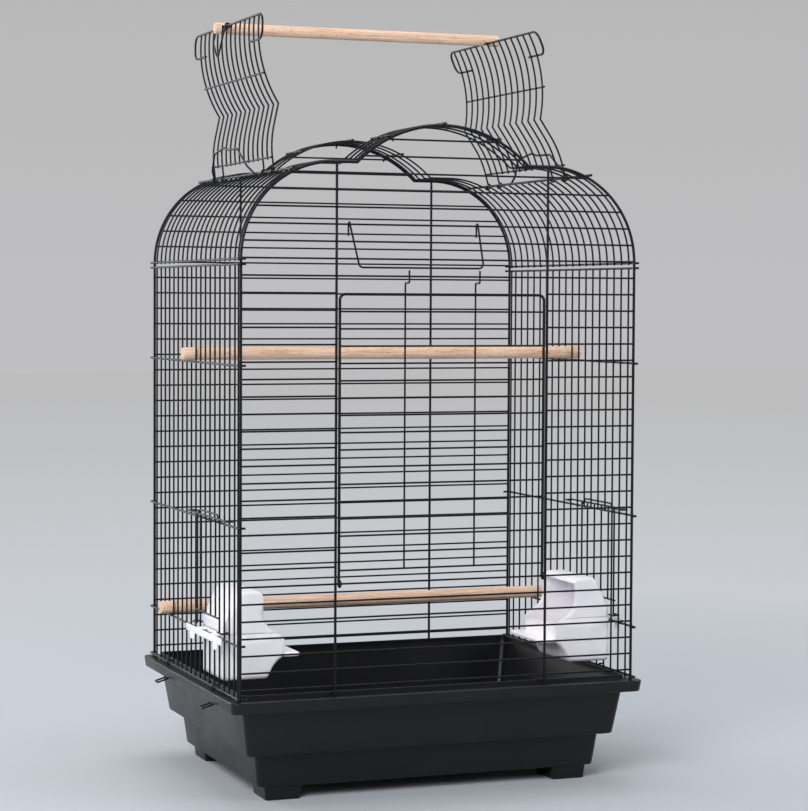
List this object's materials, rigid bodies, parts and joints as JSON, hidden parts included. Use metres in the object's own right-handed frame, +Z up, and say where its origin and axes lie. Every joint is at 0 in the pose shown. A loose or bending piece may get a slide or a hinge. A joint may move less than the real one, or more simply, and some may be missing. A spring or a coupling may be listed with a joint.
{
  "type": "bird breeding cage",
  "caption": "Black wire bird breeding cage on a stepped tray, with a drop-down front door, hooded side feeders, wooden perches and roof flaps that open under a play perch.",
  "frame": {"origin": "on the floor under the middle of the tray", "axes": "+Z up, +X to the right, the front door faces -Y"},
  "size_m": [0.4872, 0.362, 0.8304],
  "materials": {
    "wire_enamel": "satin",
    "tray_plastic": "semi-gloss",
    "feeder_plastic": "translucent",
    "perch_wood": "plain sanded"
  },
  "bodies": {
    "cage": {"base_tray": "tray_plastic", "front_panel": "wire_enamel", "back_panel": "wire_enamel", "left_side_panel": "wire_enamel", "right_side_panel": "wire_enamel", "left_shoulder": "wire_enamel", "right_shoulder": "wire_enamel", "front_roof_strip": "wire_enamel", "back_roof_strip": "wire_enamel", "left_flap_stay": "wire_enamel", "right_flap_stay": "wire_enamel"},
    "left_roof_flap_body": {"left_roof_flap": "wire_enamel"},
    "right_roof_flap_body": {"right_roof_flap": "wire_enamel"},
    "roof_latch_body": {"roof_latch": "wire_enamel"},
    "play_perch_body": {"play_perch": "perch_wood"},
    "upper_perch_body": {"upper_perch": "perch_wood"},
    "lower_perch_body": {"lower_perch": "perch_wood"},
    "front_door_body": {"front_door": "wire_enamel"},
    "door_bail_body": {"door_bail": "wire_enamel"},
    "left_feeder_door_body": {"left_feeder_door": "wire_enamel"},
    "right_feeder_door_body": {"right_feeder_door": "wire_enamel"},
    "left_feeder_cup_body": {"left_feeder_cup": "feeder_plastic"},
    "right_feeder_cup_body": {"right_feeder_cup": "feeder_plastic"},
    "left_feeder_hood_body": {"left_feeder_hood": "feeder_plastic"},
    "right_feeder_hood_body": {"right_feeder_hood": "feeder_plastic"},
    "tray_clip_left_front_body": {"tray_clip_left_front": "wire_enamel"},
    "tray_clip_left_back_body": {"tray_clip_left_back": "wire_enamel"},
    "tray_clip_right_front_body": {"tray_clip_right_front": "wire_enamel"},
    "tray_clip_right_back_body": {"tray_clip_right_back": "wire_enamel"}
  },
  "joints": [
    {"name": "left_flap_hinge", "type": "hinge", "parent": "cage", "child": "left_roof_flap_body", "pos_m": [-0.16889, 0, 0.66295], "axis": [0, 1, 0], "range_deg": [0, 78]},
    {"name": "right_flap_hinge", "type": "hinge", "parent": "cage", "child": "right_roof_flap_body", "pos_m": [0.16889, 0, 0.66295], "axis": [0, -1, 0], "range_deg": [0, 56]},
    {"name": "play_perch_lift", "type": "slide", "parent": "cage", "child": "play_perch_body", "axis": [0, 0, 1], "range_m": [0, 0.3]},
    {"name": "latch_swing", "type": "hinge", "parent": "left_roof_flap_body", "child": "roof_latch_body", "pos_m": [-0.18719, 0, 0.82542], "axis": [0, 1, 0], "range_deg": [0, 100]},
    {"name": "front_door_hinge", "type": "hinge", "parent": "cage", "child": "front_door_body", "pos_m": [0, -0.172, 0.2311], "axis": [1, 0, 0], "range_deg": [0, 115]},
    {"name": "door_bail_swing", "type": "hinge", "parent": "cage", "child": "door_bail_body", "pos_m": [-0.035, -0.172, 0.60595], "axis": [-1, 0, 0], "range_deg": [0, 150]},
    {"name": "upper_perch_lift", "type": "slide", "parent": "cage", "child": "upper_perch_body", "axis": [0, 0, 1], "range_m": [0, 0.085]},
    {"name": "lower_perch_lift", "type": "slide", "parent": "cage", "child": "lower_perch_body", "axis": [0, 0, 1], "range_m": [0, 0.1]},
    {"name": "left_feeder_door_slide", "type": "slide", "parent": "cage", "child": "left_feeder_door_body", "axis": [0, 0, 1], "range_m": [0, 0.1]},
    {"name": "left_cup_lift", "type": "slide", "parent": "cage", "child": "left_feeder_cup_body", "axis": [0, 0, 1], "range_m": [0, 0.014]},
    {"name": "left_hood_lift", "type": "slide", "parent": "left_feeder_cup_body", "child": "left_feeder_hood_body", "axis": [0, 0, 1], "range_m": [0, 0.03]},
    {"name": "right_feeder_door_slide", "type": "slide", "parent": "cage", "child": "right_feeder_door_body", "axis": [0, 0, 1], "range_m": [0, 0.1]},
    {"name": "right_cup_lift", "type": "slide", "parent": "cage", "child": "right_feeder_cup_body", "axis": [0, 0, 1], "range_m": [0, 0.014]},
    {"name": "right_hood_lift", "type": "slide", "parent": "right_feeder_cup_body", "child": "right_feeder_hood_body", "axis": [0, 0, 1], "range_m": [0, 0.03]},
    {"name": "clip_left_front_swivel", "type": "hinge", "parent": "cage", "child": "tray_clip_left_front_body", "pos_m": [-0.2296, -0.0905, 0.1075], "axis": [0, 0, 1], "range_deg": [0, 90]},
    {"name": "clip_left_back_swivel", "type": "hinge", "parent": "cage", "child": "tray_clip_left_back_body", "pos_m": [-0.2296, 0.0905, 0.1075], "axis": [0, 0, 1], "range_deg": [0, 90]},
    {"name": "clip_right_front_swivel", "type": "hinge", "parent": "cage", "child": "tray_clip_right_front_body", "pos_m": [0.2296, -0.0905, 0.1075], "axis": [0, 0, 1], "range_deg": [0, 90]},
    {"name": "clip_right_back_swivel", "type": "hinge", "parent": "cage", "child": "tray_clip_right_back_body", "pos_m": [0.2296, 0.0905, 0.1075], "axis": [0, 0, 1], "range_deg": [0, 90]}
  ],
  "couplings": [
    {"joint": "right_flap_hinge", "follows": "left_flap_hinge", "ratio": 0.71795},
    {"joint": "play_perch_lift", "follows": "left_flap_hinge", "m_per_rad": 0.22}
  ]
}
